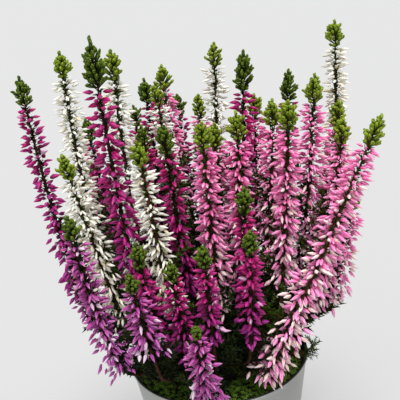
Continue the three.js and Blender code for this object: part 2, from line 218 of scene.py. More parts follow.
def new_material(name, usual, roughness, **settings):
    """A material, its nodes, and the plain values that its shader has on the whole."""
    material = bpy.data.materials.new(name)
    material.use_nodes = True
    material.diffuse_color = colour(usual)
    shader = material.node_tree.nodes["Principled BSDF"]
    shader.inputs["Base Color"].default_value = colour(usual)
    shader.inputs["Roughness"].default_value = roughness
    for setting, value in settings.items():
        shader.inputs[setting.replace("_", " ")].default_value = value
    return material, Nodes(material.node_tree)


def new_group(name, takes, gives):
    """A node group with the named sockets, its nodes, and what it is asked with."""
    group = bpy.data.node_groups.new(name, "ShaderNodeTree")
    for side, sockets in (("INPUT", takes), ("OUTPUT", gives)):
        for socket, kind in sockets.items():
            group.interface.new_socket(socket, in_out=side, socket_type=f"NodeSocket{kind}")
    nodes = Nodes(group)
    return group, nodes, nodes.add("NodeGroupInput", {})


# Fine unevenness of every skin here: a soft mottle for the colour and a fine grain for
# the bump.
mottle_group, nodes, asked = new_group(
    "mottle", {"Scale": "Float"}, {"Patches": "Float", "Grain": "Float"}
)
place = nodes.place()
patches = nodes.add("ShaderNodeTexNoise", {
    "Vector": place, "Scale": asked["Scale"], "Detail": 4.0,
})
grain = nodes.add("ShaderNodeTexNoise", {
    "Vector": place, "Scale": nodes.sum("MULTIPLY", asked["Scale"], 12.0),
    "Detail": 2.0, "Roughness": 0.7,
})
nodes.add("NodeGroupOutput", {
    "Patches": nodes.spread(patches[0], 0.3, 0.7), "Grain": grain[0],
})

pot_plastic, nodes = new_material("pot_plastic", "a4a5a2", 0.5)
mottle = nodes.mottle(45.0)
wall = nodes.blend(mottle["Patches"], "9c9d9a", "b0b1ae")
place = nodes.place()
axes = nodes.add("ShaderNodeSeparateXYZ", {"Vector": place})
level = nodes.add("ShaderNodeCombineXYZ", {"X": axes["X"], "Y": axes["Y"]})
off_axis = nodes.add("ShaderNodeVectorMath", {0: level[0]}, operation="LENGTH")["Value"]
wall_middle = nodes.sum("MULTIPLY_ADD", axes["Z"], WALL_SLOPE, POT_FOOT_RADIUS - POT_WALL * 0.55)
inside = nodes.sum("LESS_THAN", off_axis, wall_middle)
above_floor = nodes.sum("GREATER_THAN", axes["Z"], POT_FLOOR * 0.6)
on_lip = nodes.sum("GREATER_THAN", axes["Z"], POT_HEIGHT - LIP_EASE * 1.1)
black = nodes.sum("MAXIMUM", nodes.sum("MULTIPLY", inside, above_floor), on_lip)
along_wall = nodes.add("ShaderNodeMapping", {"Vector": place, "Scale": (1.0, 1.0, 7.0)})
scuffs = nodes.add("ShaderNodeTexNoise", {
    "Vector": along_wall[0], "Scale": 160.0, "Detail": 6.0,
})
wall = nodes.blend(nodes.spread(scuffs[0], 0.6, 0.72, 0.0, 0.5), wall, "b4b5b1")
foot_dust = nodes.spread(axes["Z"], 0.012, 0.0, 0.0, 0.35)
wall = nodes.blend(foot_dust, wall, "6f6a60")
gloss = nodes.spread(mottle["Patches"], 0, 1, 0.42, 0.58)
nodes.finish(nodes.blend(black, wall, "232422"), mottle["Grain"], 0.15, 0.0002, gloss)
nursery_pot.data.materials.append(pot_plastic)
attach(nursery_pot, "root")
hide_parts("pot")

# ------------------------------------------------------------------ the peat
# The root ball: peat held together by roots, filling the pot to a little under its lip.
# Its top is uneven and strewn with crumbs and bark fibres. It stands in the pot by its
# own weight.
GAP = 0.0003
SOIL_LEVEL = 0.086
PEAT_SIDES = 96
PEAT_RINGS = 22
PEAT_HEAVE = 0.0016
PEAT_LUMPS = 160  # waves a metre
PEAT_EDGE = 0.001  # left level along the wall
CRUMBS = 700
CRUMB_SIZES = (0.0004, 0.0011)
FIBRES = 180
FIBRE_LENGTHS = (0.002, 0.007)
FIBRE_WIDTH = 0.0018
chance = random.Random(11)  # the draws that strew and sway all that is repeated

deselect_all()
top_radius = inner_radius(SOIL_LEVEL) - GAP
bpy.ops.mesh.primitive_cone_add(
    vertices=PEAT_SIDES, radius1=inner_radius(POT_FLOOR) - GAP, radius2=top_radius,
    depth=SOIL_LEVEL - POT_FLOOR - GAP,
    location=(0, 0, (SOIL_LEVEL + POT_FLOOR + GAP) / 2),
)
bpy.ops.object.transform_apply()
peat_ball = bpy.context.object
peat_ball.name = "peat_ball"


def take(piece, wanted):
    """Selects, in edit mode, the points of a piece whose place answers the question."""
    bpy.ops.object.mode_set(mode="EDIT")
    bpy.ops.mesh.select_mode(type="VERT")
    bpy.ops.mesh.select_all(action="DESELECT")
    bpy.ops.object.mode_set(mode="OBJECT")
    for vertex in piece.data.vertices:
        vertex.select = wanted(vertex.co)
    bpy.ops.object.mode_set(mode="EDIT")


take(peat_ball, lambda place: place.z > SOIL_LEVEL - GAP)
for ring in range(PEAT_RINGS):
    bpy.ops.mesh.inset(thickness=top_radius / (PEAT_RINGS + 1))
bpy.ops.mesh.merge(type="COLLAPSE")
bpy.ops.object.mode_set(mode="OBJECT")
for vertex in peat_ball.data.vertices:
    edge = top_radius - math.hypot(vertex.co.x, vertex.co.y)
    if vertex.co.z > SOIL_LEVEL - GAP and edge > PEAT_EDGE:
        lump = noise.fractal(vertex.co * PEAT_LUMPS, 0.8, 2.2, 4)
        vertex.co.z += PEAT_HEAVE * (0.35 + 0.6 * lump)
peat_ball.data.shade_smooth()


def new_mould(name):
    """Names the primitive just added as the one that copies are made from."""
    mould = bpy.context.object
    mould.name = name
    return mould


def unit(vectors):
    return vectors / np.linalg.norm(vectors, axis=1, keepdims=True)


def stand_along(directions, rolls, sizes):
    """Matrices that stand a mould along the directions, rolled round them and sized."""
    upright = unit(directions)
    helper = np.where(np.abs(upright[:, 2:]) > 0.9, [[1.0, 0.0, 0.0]], [[0.0, 0.0, 1.0]])
    across = unit(np.cross(helper, upright))
    other = np.cross(upright, across)
    rolls = rolls[:, None]
    first = across * np.cos(rolls) + other * np.sin(rolls)
    second = np.cross(upright, first)
    return np.stack(
        [first * sizes[:, 0:1], second * sizes[:, 1:2], upright * sizes[:, 2:3]], axis=2
    )


def copies_of(mould, name, feet, stands, ages=0.0, wood=0.0):
    """One mesh of many copies of a mould. Its attribute growth holds the place along the
    mould, the age, a chance number for each copy, and how woody it is; its attribute
    ridge holds 1 on the mould's ridges and 0 in its grooves."""
    shape = np.array([vertex.co[:] for vertex in mould.data.vertices])
    points = np.einsum("nij,vj->nvi", stands, shape) + feet[:, None, :]
    faces = [tuple(face.vertices) for face in mould.data.polygons]
    count, corners = len(feet), len(shape)
    mesh = bpy.data.meshes.new(name)
    mesh.from_pydata(
        points.reshape(-1, 3).tolist(), [],
        [tuple(c + first for c in face) for first in range(0, count * corners, corners)
         for face in faces],
    )
    along = (shape[:, 2] - shape[:, 2].min()) / np.ptp(shape[:, 2])
    growth = np.empty((count, corners, 4))
    growth[..., 0] = along
    growth[..., 1] = np.broadcast_to(ages, count)[:, None]
    growth[..., 2] = np.array([chance.random() for _ in range(count)])[:, None]
    growth[..., 3] = wood
    mesh.attributes.new("growth", "FLOAT_COLOR", "POINT").data.foreach_set(
        "color", growth.ravel()
    )
    ridges = [0.0] * corners
    if "ridge" in mould.data.attributes:
        mould.data.attributes["ridge"].data.foreach_get("value", ridges)
    mesh.attributes.new("ridge", "FLOAT", "POINT").data.foreach_set(
        "value", np.tile(ridges, count)
    )
    mesh.shade_smooth()
    piece = bpy.data.objects.new(name, mesh)
    bpy.context.collection.objects.link(piece)
    return piece


def mark(piece, *growth):
    """Gives a single mesh the attributes that copies of a mould have."""
    count = len(piece.data.vertices)
    piece.data.attributes.new("growth", "FLOAT_COLOR", "POINT").data.foreach_set(
        "color", np.tile(growth, count)
    )
    piece.data.attributes.new("ridge", "FLOAT", "POINT")


def join(pieces, name):
    """Joins objects into one where they stand, under one name."""
    deselect_all()
    for piece in pieces:
        piece.select_set(True)
    bpy.context.view_layer.objects.active = pieces[0]
    bpy.ops.object.transform_apply()
    bpy.ops.object.join()
    pieces[0].name = pieces[0].data.name = name
    return pieces[0]


def strewn(count, inner, outer):
    """Places strewn evenly over a ring round the pot's axis, as x and y."""
    radii = [math.sqrt(chance.uniform(inner ** 2, outer ** 2)) for _ in range(count)]
    turns = [chance.uniform(0, 2 * math.pi) for _ in range(count)]
    return np.array([(r * math.cos(t), r * math.sin(t)) for r, t in zip(radii, turns)])


def even(count, low, high):
    return np.array([chance.uniform(low, high) for _ in range(count)])


def roughen(mould, offset, seed):
    pick(mould)
    bpy.ops.object.mode_set(mode="EDIT")
    bpy.ops.transform.vertex_random(offset=offset, seed=seed)
    bpy.ops.object.mode_set(mode="OBJECT")


deselect_all()
bpy.ops.mesh.primitive_ico_sphere_add(subdivisions=1, radius=1)
crumb = new_mould("crumb")
roughen(crumb, 0.5, seed=4)
spots = strewn(CRUMBS, 0, top_radius - 0.002)
sizes = even(CRUMBS, *CRUMB_SIZES)[:, None] * np.array([[1.0, 0.8, 0.6]])
feet = np.column_stack([spots, np.full(CRUMBS, SOIL_LEVEL + PEAT_HEAVE * 0.35)])
leans = np.column_stack([even(CRUMBS, -1, 1), even(CRUMBS, -1, 1), np.ones(CRUMBS)])
crumbs = copies_of(
    crumb, "crumbs", feet, stand_along(leans, even(CRUMBS, 0, 6), sizes), even(CRUMBS, 0, 1)
)

deselect_all()
bpy.ops.mesh.primitive_cone_add(vertices=4, radius1=0.12, radius2=0.05, depth=1)
fibre = new_mould("fibre")
roughen(fibre, 0.06, seed=2)
spots = strewn(FIBRES, 0, top_radius - 0.004)
feet = np.column_stack([spots, np.full(FIBRES, SOIL_LEVEL + PEAT_HEAVE * 0.8)])
leans = np.column_stack([even(FIBRES, -1, 1), even(FIBRES, -1, 1), even(FIBRES, -0.2, 0.2)])
sizes = np.column_stack([np.full((FIBRES, 2), FIBRE_WIDTH), even(FIBRES, *FIBRE_LENGTHS)])
fibres = copies_of(
    fibre, "fibres", feet, stand_along(leans, even(FIBRES, 0, 6), sizes),
    even(FIBRES, 0.5, 1), wood=1.0,
)
mark(peat_ball, 0.0, 0.0, 0.0, 0.0)
peat_ball = join([peat_ball, crumbs, fibres], "peat_ball")
for mould in (crumb, fibre):
    bpy.data.objects.remove(mould)


def growth_of(nodes):
    """The attribute growth: place along the mould, age, chance number, woodiness."""
    growth = nodes.add("ShaderNodeAttribute", {}, attribute_name="growth")
    parts = nodes.add("ShaderNodeSeparateColor", {"Color": growth["Color"]})
    return parts["Red"], parts["Green"], parts["Blue"], growth["Alpha"]


peat, nodes = new_material("peat", "2a211a", 0.95)
_, age, luck, wood = growth_of(nodes)
mottle = nodes.mottle(260.0)
earth = nodes.blend(mottle["Patches"], "17110c", "3a2c20")
earth = nodes.blend(age, earth, nodes.blend(luck, "1d1510", "4a3727"))
earth = nodes.blend(wood, earth, "6a5038")
nodes.finish(earth, mottle["Grain"], 0.6, 0.0005)
peat_ball.data.materials.clear()
peat_ball.data.materials.append(peat)
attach(peat_ball, "root")
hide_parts("root_ball")

# ------------------------------------------------------------------ the moss
# A carpet of moss that has grown on the peat along the pot's wall, in cushions. It is a
# bumpy ring clad in thousands of small shoots, each a star of pointed leaves.
MOSS_INNER = 0.027
MOSS_OUTER = inner_radius(SOIL_LEVEL) - 2 * GAP
MOSS_HEIGHT = 0.0036
MOSS_SHEET = 0.0004
MOSS_RINGS = 12
CUSHIONS = 120  # waves a metre
TUFTS = 420
MOSS_SHOOTS = 2000
MOSS_SHOOT_LENGTH = 0.0027


def moss_top(x, y):
    """Height of the cushions' top over the peat."""
    across = (math.hypot(x, y) - MOSS_INNER) / (MOSS_OUTER - MOSS_INNER)
    crown = math.sin(math.pi * min(max(across * 0.86 + 0.07, 0.0), 1.0)) ** 0.7
    cushions = noise.noise(Vector((x * CUSHIONS, y * CUSHIONS, 0.3)))
    tufts = noise.noise(Vector((x * TUFTS, y * TUFTS, 1.7)))
    return MOSS_HEIGHT * crown * (0.72 + 0.5 * cushions + 0.2 * tufts)


deselect_all()
bpy.ops.mesh.primitive_circle_add(
    vertices=PEAT_SIDES, radius=MOSS_OUTER, location=(0, 0, SOIL_LEVEL + GAP)
)
bpy.ops.object.transform_apply()
moss_carpet = bpy.context.object
bpy.ops.object.mode_set(mode="EDIT")
bpy.ops.mesh.select_all(action="SELECT")
draw_up([
    (MOSS_OUTER + (MOSS_INNER - MOSS_OUTER) * ring / MOSS_RINGS, SOIL_LEVEL + GAP)
    for ring in range(MOSS_RINGS + 1)
])
bpy.ops.mesh.select_all(action="SELECT")
bpy.ops.mesh.normals_make_consistent(inside=False)
bpy.ops.object.mode_set(mode="OBJECT")
finish_with(moss_carpet, "SOLIDIFY", thickness=MOSS_SHEET, offset=1)
for vertex in moss_carpet.data.vertices:
    if vertex.co.z > SOIL_LEVEL + GAP + 0.5 * MOSS_SHEET:
        vertex.co.z += max(0.0, moss_top(vertex.co.x, vertex.co.y))
moss_carpet.data.shade_smooth()


def needle(name, radius, length=1.0, tip=0.0):
    """A three-edged needle that stands on its foot."""
    deselect_all()
    bpy.ops.mesh.primitive_cone_add(
        vertices=3, radius1=radius, radius2=tip, depth=length, location=(0, 0, length / 2)
    )
    bpy.ops.object.transform_apply()
    return new_mould(name)


leaves = [needle("moss_leaf", 0.17)]
for lean, turn in ((0.7, 0.0), (0.7, 2.1), (0.7, 4.2), (1.2, 1.0), (1.2, 3.1), (1.2, 5.2)):
    leaf = needle("moss_leaf", 0.17)
    leaf.rotation_euler = (lean, 0, turn)
    leaf.scale = (0.8, 0.8, 0.75)
    leaf.location = (0, 0, 0.35)
    leaves.append(leaf)
moss_shoot = join(leaves, "moss_shoot")

spots = strewn(MOSS_SHOOTS, MOSS_INNER - 0.0015, MOSS_OUTER - 0.0012)
rises = np.array([moss_top(x, y) for x, y in spots])
feet = np.column_stack([spots, SOIL_LEVEL + GAP + rises])
leans = np.column_stack([
    even(MOSS_SHOOTS, -0.5, 0.5), even(MOSS_SHOOTS, -0.5, 0.5), np.ones(MOSS_SHOOTS),
])
sizes = even(MOSS_SHOOTS, 0.6, 1.15)[:, None] * np.full((1, 3), MOSS_SHOOT_LENGTH)
shoots = copies_of(
    moss_shoot, "shoots", feet, stand_along(leans, even(MOSS_SHOOTS, 0, 6), sizes),
    even(MOSS_SHOOTS, 0, 1), wood=1.0,
)
bpy.data.objects.remove(moss_shoot)
mark(moss_carpet, 0.0, 0.0, 0.0, 0.0)
moss_carpet = join([moss_carpet, shoots], "moss_carpet")

moss_green, nodes = new_material("moss_green", "3c4a1c", 0.8, Specular_IOR_Level=0.2)
along, age, _, wood = growth_of(nodes)
mottle = nodes.mottle(75.0)
shade = nodes.blend(mottle["Patches"], "34601a", "6c9e2e")
browned = nodes.spread(nodes.mottle(26.0)["Patches"], 0.55, 0.95, 0, 0.55)
shade = nodes.blend(browned, shade, "4a3c1c")
shade = nodes.blend(nodes.spread(age, 0.7, 1.0, 0, 0.5), shade, "84903a")
leafy = nodes.blend(nodes.spread(along, 0.35, 1.0, 0, 0.75), shade, "a8d04e")
under = nodes.blend(mottle["Patches"], "12180a", "241c10")  # the sheet under the shoots
leafy = nodes.blend(nodes.sum("LESS_THAN", wood, 0.5), leafy, under)
nodes.finish(leafy, mottle["Grain"], 0.5, 0.0004)
moss_carpet.data.materials.clear()
moss_carpet.data.materials.append(moss_green)
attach(moss_carpet, "root")
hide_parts("moss")

# ------------------------------------------------------------------ the branches
# Each plant stands in the peat on one short woody trunk, which parts into thin brown
# stems. Twigs of needle leaves grow on them below the blooms and tiny leaves between the
# buds, and a dense tuft of young shoots ends every stem that flowers.
TRUNK_RADIUS = 0.0022
TRUNK_DEPTH = 0.028
TRUNK_TOP = 0.0036
TRUNK_STEPS = 8
STEM_START = 0.0008
STEM_RADIUS = 0.00125
STEM_RADIUS_IN_BLOOM = 0.0008
CROWN_HEIGHT = 0.204
CROWN_FOOT = 0.2
CROWN_FLARE = 0.27
JOIN_HEIGHT = 0.016
JOIN_SHARE = 0.35
NECK = 0.0008
STEM_STEPS = 200
STEM_STEP = 0.0008

# Each plant: the kind of its leaves, and its stems. A stem's row: colour of its buds, its
# place in the crown (x, y), height of its tip over the peat, height of its first bud,
# length of its leafy tip, and how far its foot stands off its place (x, y).
PLANTS = [
    ("dark", [
        ("crimson", -0.092, 0.008, 0.18, 0.05, 0.017, -0.012, 0),
        ("crimson", -0.066, 0.031, 0.149, 0.05, 0.014, 0, 0),
        ("violet", -0.112, 0.032, 0.058, 0.018, 0.009, 0, 0),
        ("crimson", -0.076, 0.064, 0.118, 0.026, 0.013, 0, 0),
    ]),
    ("dark", [
        ("crimson", -0.044, -0.041, 0.202, 0.048, 0.025, -0.006, 0),
        ("crimson", -0.04, -0.066, 0.106, 0.038, 0.015, 0, 0),
        ("violet", -0.043, -0.093, 0.101, 0.057, 0.011, 0, 0),
        ("violet", -0.071, -0.066, 0.124, 0.033, 0.014, -0.006, 0),
    ]),
    ("dark", [
        ("crimson", -0.0225, -0.073, 0.097, 0.04, 0.012, 0, 0),
        ("crimson", -0.0035, -0.082, 0.107, 0.051, 0.012, 0, 0),
        ("crimson", 0.0225, -0.073, 0.109, 0.046, 0.013, 0, 0),
        ("crimson", 0.022, -0.049, 0.124, 0.046, 0.015, 0, 0),
        ("violet", -0.0125, -0.106, 0.074, 0.018, 0.007, 0, 0),
        ("leaf", -0.028, -0.074, 0.031, 0, 0.011, 0, 0),
    ]),
    ("dark", [
        ("crimson", -0.031, 0.004, 0.148, 0.066, 0.014, 0, 0),
        ("crimson", -0.017, -0.028, 0.154, 0.048, 0.016, 0, 0),
        ("crimson", -0.028, 0.044, 0.166, 0.08, 0.015, 0, 0),
    ]),
    ("dark", [
        ("crimson", -0.039, 0.066, 0.147, 0.036, 0.014, 0, 0),
        ("crimson", -0.01, 0.082, 0.148, 0.04, 0.014, 0, 0),
        ("crimson", -0.039, 0.094, 0.112, 0.024, 0.012, 0, 0),
    ]),
    ("dark", [
        ("crimson", 0.0305, 0.018, 0.18, 0.072, 0.023, -0.008, 0),
        ("crimson", 0.062, 0.06, 0.16, 0.05, 0.02, 0, 0),
    ]),
    ("light", [
        ("white", -0.064, -0.012, 0.193, 0.052, 0.014, -0.014, 0),
        ("white", -0.07, -0.042, 0.148, 0.054, 0.014, 0.008, 0),
    ]),
    ("light", [
        ("white", -0.038, -0.018, 0.192, 0.06, 0.016, -0.012, 0),
        ("white", -0.0305, -0.05, 0.153, 0.06, 0.014, 0.004, 0),
    ]),
    ("light", [
        ("white", -0.0205, 0.023, 0.167, 0.075, 0.014, 0, 0),
        ("pink", -0.017, 0.062, 0.17, 0.08, 0.016, 0, 0),
        ("pink", 0.004, 0.058, 0.151, 0.066, 0.014, 0, 0),
    ]),
    ("light", [
        ("white", 0.0155, 0.037, 0.183, 0.08, 0.014, -0.008, 0),
        ("pink", 0.038, 0.042, 0.151, 0.068, 0.014, 0, 0),
        ("pink", 0.014, 0.092, 0.122, 0.028, 0.013, 0, 0),
    ]),
    ("light", [
        ("pink", 0.011, 0.009, 0.144, 0.066, 0.014, 0, 0),
        ("pink", 0.022, -0.017, 0.155, 0.055, 0.016, 0, 0),
        ("pink", 0.003, -0.033, 0.155, 0.05, 0.015, 0, 0),
    ]),
    ("light", [
        ("pink", 0.043, -0.007, 0.157, 0.06, 0.015, 0, 0),
        ("pink", 0.048, -0.032, 0.161, 0.062, 0.016, 0, 0),
        ("pink", 0.099, -0.028, 0.148, 0.018, 0.018, -0.07, -0.054),
        ("leaf", 0.0375, -0.055, 0.056, 0, 0.011, 0, 0),
    ]),
    ("light", [
        ("pink", 0.069, 0.009, 0.165, 0.05, 0.017, 0, 0),
        ("pink", 0.082, -0.012, 0.144, 0.036, 0.015, 0, 0),
        ("pink", 0.087, 0.024, 0.146, 0.044, 0.015, 0, 0),
        ("pink", 0.098, 0.002, 0.1, 0.034, 0.013, 0, 0),
        ("leaf", 0.083, -0.04, 0.021, 0, 0.011, 0, 0),
    ]),
    ("light", [
        ("white", 0.087, 0.048, 0.187, 0.05, 0.016, 0.016, 0),
        ("pink", 0.062, 0.088, 0.114, 0.024, 0.013, 0, 0),
    ]),
]


def mix(first, second, share):
    return first + (second - first) * share


def swept(turns, out, side):
    """Directions turned round a stem from its outward side."""
    return np.cos(turns)[:, None] * out + np.sin(turns)[:, None] * side


class Stem:
    """A stem's middle line, and the stretches of it that flower and bear leaves."""

    def __init__(self, row, trunk):
        self.kind, x, y, tip, bloom, self.leafy, foot_x, foot_y = row
        heights = np.linspace(STEM_START, tip, STEM_STEPS + 1)
        spread = mix(CROWN_FOOT, 1, (heights / CROWN_HEIGHT) ** CROWN_FLARE)
        part = np.clip(heights / (JOIN_HEIGHT + JOIN_SHARE * bloom), 0, 1)
        part = part * part * (3 - 2 * part)
        self.points = np.column_stack([
            mix(trunk[0], (x + foot_x * (1 - heights / tip)) * spread, part),
            mix(trunk[1], (y + foot_y * (1 - heights / tip)) * spread, part),
            SOIL_LEVEL + heights,
        ])
        steps = np.linalg.norm(np.diff(self.points, axis=0), axis=1)
        self.lengths = np.concatenate([[0.0], np.cumsum(steps)])
        self.length = self.lengths[-1]
        self.sideways = np.array([-y, x, 0.0]) / math.hypot(x, y)
        self.leafy_from = self.length - self.leafy
        self.bloom_from = float(np.interp(bloom, heights, self.lengths))
        self.bloom_to = self.leafy_from - NECK
        self.flowers = self.kind != "leaf"

    def line(self, distances):
        """Places on the stem's middle line."""
        distances = np.clip(distances, 0, self.length)
        return np.column_stack([
            np.interp(distances, self.lengths, self.points[:, axis]) for axis in range(3)
        ])

    def at(self, distances):
        """Middles and directions: along the stem, outwards from the plant, and across."""
        along = unit(self.line(distances + STEM_STEP) - self.line(distances - STEM_STEP))
        out = unit(np.cross(np.broadcast_to(self.sideways, along.shape), along))
        return self.line(distances), along, out, np.cross(along, out)

    def sprout(self, distances, turns, rises):
        """For what grows out of the stem: middles, and directions round it and upwards."""
        middle, along, out, side = self.at(distances)
        around = swept(turns, out, side)
        rises = np.radians(rises)[:, None]
        return middle, around, np.cos(rises) * around + np.sin(rises) * along


def tube(name, points, radii):
    """A round woody stem through the points, with its own thickness at each."""
    curve = bpy.data.curves.new(name, "CURVE")
    curve.dimensions = "3D"
    curve.bevel_depth = 1.0
    curve.bevel_resolution = 1
    curve.use_fill_caps = True
    spline = curve.splines.new("POLY")
    spline.points.add(len(points) - 1)
    for point, place, radius in zip(spline.points, points, radii):
        point.co = (*place, 1.0)
        point.radius = radius
    stem = bpy.data.objects.new(name, curve)
    bpy.context.collection.objects.link(stem)
    pick(stem)
    bpy.ops.object.convert(target="MESH")
    wood = bpy.context.object
    mark(wood, 0.5, 0.5, 0.5, 1.0)
    wood.data.shade_smooth()
    return wood


def standing_ball(name, segments, rings):
    """A ball of unit width that stands on its lower pole."""
    deselect_all()
    bpy.ops.mesh.primitive_uv_sphere_add(segments=segments, ring_count=rings, radius=0.5)
    mould = new_mould(name)
    bpy.ops.object.mode_set(mode="EDIT")
    bpy.ops.mesh.select_all(action="SELECT")
    bpy.ops.transform.translate(value=(0, 0, 0.5))
    bpy.ops.object.mode_set(mode="OBJECT")
    return mould


def set_ridges(mould, ridges):
    mould.data.attributes.new("ridge", "FLOAT", "POINT").data.foreach_set("value", ridges)


# a young shoot of the tufts: a club of overlapping scale leaves, whose every other point
# stands out as the tip of a leaf
CLUB_RINGS = 7
CLUB_COLUMNS = 6
ON_AXIS = 0.01
club_shoot = standing_ball("club_shoot", CLUB_COLUMNS, CLUB_RINGS)
tips_of_leaves = []
for vertex in club_shoot.data.vertices:
    along = vertex.co.z
    ring = round(math.acos(max(-1, min(1, 2 * along - 1))) / math.pi * CLUB_RINGS)
    column = round(math.atan2(vertex.co.y, vertex.co.x) / (2 * math.pi / CLUB_COLUMNS))
    off_axis = math.hypot(vertex.co.x, vertex.co.y)
    stands_out = off_axis > ON_AXIS and (ring + column) % 2 == 0
    tips_of_leaves.append(1.0 if stands_out or along > 0.99 else 0.0)
    if off_axis > ON_AXIS:
        body = mix(0.42, 1.0, min(1.0, max(0.0, along - 0.3) / 0.35))
        cap = math.sqrt(max(0.0, 1 - (max(0.0, along - 0.66) / 0.36) ** 2))
        width = 0.5 * body * cap * (1.16 if stands_out else 0.8)
        vertex.co.x *= width / off_axis
        vertex.co.y *= width / off_axis
        vertex.co.z = max(0.0, along + (0.03 if stands_out else -0.02))
set_ridges(club_shoot, tips_of_leaves)

# the short stalk of a side shoot, which holds the buds that stand off the stem, and one
# tiny leaf
side_stalk = needle("side_stalk", 0.5)
tiny_leaf = needle("tiny_leaf", 0.55)

# an older twig: pairs of spreading needle leaves on a thin axis
TWIG_PAIRS = 6
needles = [needle("leafy_twig", 0.03, tip=0.01)]
for pair in range(TWIG_PAIRS):
    for half in range(2):
        leaf = needle("leafy_twig", 0.055, 0.30)
        leaf.rotation_euler = (0.75, 0, pair * 1.57 + half * math.pi)
        leaf.location = (0, 0, 0.12 + 0.74 * pair / (TWIG_PAIRS - 1))
        needles.append(leaf)
leafy_twig = join(needles, "leafy_twig")

CLUB_WIDTH = 0.0019
CLUB_LENGTHS = (0.0022, 0.0078)
TUFT_RADIUS = 0.0074
TUFT_ARMS = 5
TUFT_END = 0.3  # share of the tuft that its end shoot covers
WHORL_STEP = 0.0019
CLUB_RISES = (36, 60)  # degrees from level, at the foot of a tuft and at its top
TWIG_RISES = (20, 65)
LOW_TWIG_STEP = 0.0016
LOW_TWIGS_FROM = 0.012
LOW_TWIG_SHORTEST = 0.006
LOW_TWIG_LONGEST = (0.008, 0.013)  # on stems that bloom from low down, and from high up
HIGH_BLOOM = 0.06
END_TWIG_STEP = 0.0006
END_TWIG_LENGTHS = (0.004, 0.008)
INNER_TWIG_STEP = 0.0023
INNER_TWIG_LENGTHS = (0.010, 0.018)
INNER_FROM = -0.015  # stems behind this bear inner twigs up to the height below
INNER_HEIGHT = 0.118
STALK_STEP = 0.0009
STALK_WIDTH = 0.0007
STALK_LENGTHS = (0.0066, 0.003)  # at the foot of the blooms, and at their top
STALK_RISES = (-35, 25)
LEAF_STEP = 0.0004
LEAF_RISES = (5, 65)
LEAF_LENGTHS = (0.0020, 0.0044)
CRIMSON_LEAF_LENGTHS = (0.0020, 0.0038)
SCATTER = 0.001  # how far a twig or leaf may sit off its even place


def tuft(stem, name):
    """The leafy tip of a stem: whorls of five shoots round it, and one on its end."""
    whorls = max(3, round(stem.leafy / WHORL_STEP))
    feet, directions, sizes = [], [], []
    reach = min(TUFT_RADIUS, 0.0012 + 0.27 * stem.leafy)
    reach *= mix(0.75, 1.0, min(1.0, max(0.0, (stem.length - 0.1) / 0.05)))
    for whorl in range(whorls):
        share = whorl / whorls
        distance = stem.leafy_from + stem.leafy * (0.02 + 0.76 * share)
        middle, along, out, side = (v[0] for v in stem.at(np.array([distance])))
        fullness = min(1.0, 0.7 + 2 * share, 0.18 + 1.02 * (1 - share))
        for arm in range(TUFT_ARMS):
            turn = (arm + 0.5 * (whorl % 2)) * 2 * math.pi / TUFT_ARMS
            turn += chance.uniform(-0.4, 0.4)
            around = math.cos(turn) * out + math.sin(turn) * side
            rise = math.radians(mix(*CLUB_RISES, share) + chance.uniform(-10, 10))
            length = reach * fullness * chance.uniform(0.6, 1.2) / math.cos(rise)
            feet.append(middle + 0.0003 * around)
            directions.append(math.cos(rise) * around + math.sin(rise) * along)
            width = CLUB_WIDTH * chance.uniform(0.8, 1.1)
            sizes.append((width, width, min(CLUB_LENGTHS[1], max(CLUB_LENGTHS[0], length))))
    end = TUFT_END * stem.leafy
    middle, along, _, _ = (v[0] for v in stem.at(np.array([stem.length - end])))
    feet.append(middle)
    directions.append(along)
    sizes.append((CLUB_WIDTH, CLUB_WIDTH, end))
    stands = stand_along(np.array(directions), even(len(feet), 0, 6), np.array(sizes))
    return copies_of(club_shoot, name, np.array(feet), stands)


def twigs(stem, name, low, high, step, inward, lengths, ages=1.0):
    """Leafy twigs along a stretch of stem, more of them towards the plant's middle."""
    count = max(4, round((high - low) / step))
    distances = np.linspace(low, high, count) + even(count, -SCATTER, SCATTER)
    turns = math.pi + even(count, -1, 1) * mix(math.pi, 1.2, inward)
    middle, _, directions = stem.sprout(distances, turns, even(count, *TWIG_RISES))
    sizes = even(count, *lengths)[:, None] * np.ones((1, 3))
    stands = stand_along(directions, even(count, 0, 6), sizes)
    return copies_of(leafy_twig, name, middle, stands, ages)


def bloom_leaves(stem, name):
    """Tiny leaves on the stem between the buds, older towards the foot of the blooms."""
    count = round((stem.bloom_to - stem.bloom_from) / LEAF_STEP)
    distances = np.linspace(stem.bloom_from, stem.leafy_from, count)
    distances += even(count, -SCATTER, SCATTER)
    turns = even(count, 0, 2 * math.pi)
    middle, around, directions = stem.sprout(distances, turns, even(count, *LEAF_RISES))
    lengths = even(count, *(CRIMSON_LEAF_LENGTHS if stem.kind == "crimson" else LEAF_LENGTHS))
    sizes = np.column_stack([0.45 * lengths, 0.3 * lengths, lengths])
    stands = stand_along(directions, even(count, -0.4, 0.4), sizes)
    ages = 0.2 + 0.6 * (stem.leafy_from - distances) / (stem.leafy_from - stem.bloom_from)
    return copies_of(tiny_leaf, name, middle + 0.0004 * around, stands, np.clip(ages, 0, 1))


def side_stalks(stem, name):
    """Short stalks of side shoots, longest at the foot of the blooms."""
    count = round((stem.bloom_to - stem.bloom_from) / STALK_STEP)
    share = ((np.arange(count) + 0.5) / count) ** 1.5
    turns = even(count, 0, 2 * math.pi)
    middle, _, directions = stem.sprout(
        mix(stem.bloom_from, stem.bloom_to, share), turns,
        mix(*STALK_RISES, share) + even(count, -20, 20),
    )
    lengths = mix(*STALK_LENGTHS, share) * even(count, 0.7, 1.1)
    sizes = np.column_stack([np.full((count, 2), STALK_WIDTH), lengths])
    stands = stand_along(directions, even(count, 0, 6), sizes)
    return copies_of(side_stalk, name, middle, stands, ages=0.6, wood=0.45)


